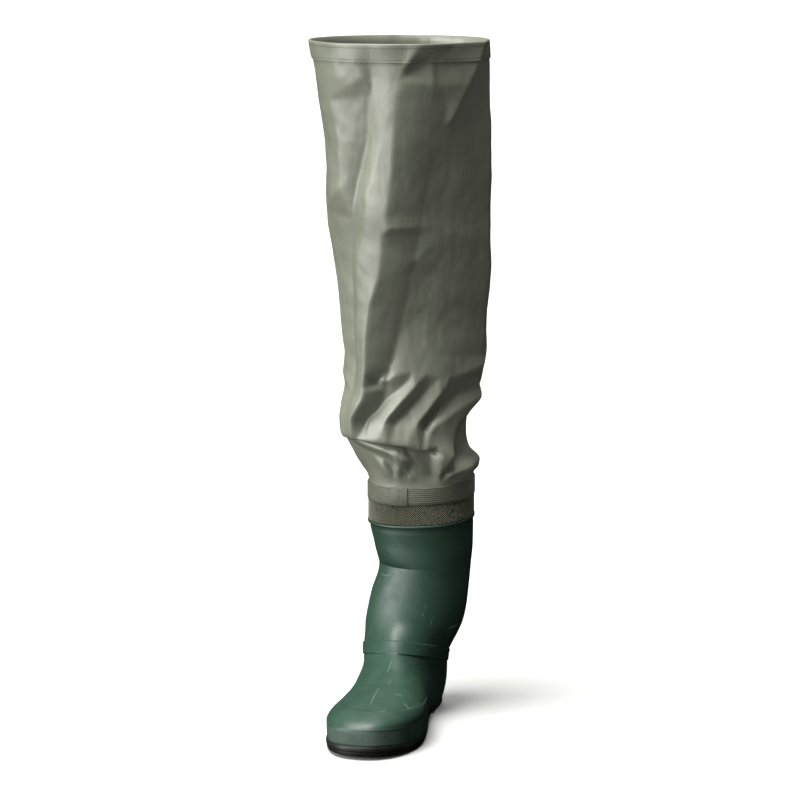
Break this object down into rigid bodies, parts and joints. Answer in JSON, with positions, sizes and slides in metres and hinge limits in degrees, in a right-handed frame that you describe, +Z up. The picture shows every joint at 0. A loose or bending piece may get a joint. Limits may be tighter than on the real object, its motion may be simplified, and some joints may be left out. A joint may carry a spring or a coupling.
{
  "type": "chest wader leg",
  "caption": "Right boot of a chest wader in moulded PVC, with knurled collar, ribbed tape and its loose coated cloth leg, hemmed above the knee.",
  "frame": {"origin": "on the floor under the middle of the heel, at the heel's rest face", "axes": "+Z up along the leg, the toe toward -Y, the inner side of the foot toward +X"},
  "size_m": [0.2124, 0.3697, 0.7929],
  "materials": {
    "tread_rubber": "matt moulded tread rubber",
    "green_pvc": "satin moulded PVC",
    "footbed": "felt-faced foam",
    "knurled_rubber": "matt knurled rubber",
    "tape": "ribbed webbing tape",
    "coated_cloth": "semi-gloss coated nylon"
  },
  "bodies": {
    "root": {"outsole": "tread_rubber", "boot_upper": "green_pvc", "insole": "footbed", "knurled_collar": "knurled_rubber", "ribbed_tape": "tape", "tape_lap": "tape", "leg": "coated_cloth", "top_hem": "coated_cloth"}
  },
  "joints": []
}
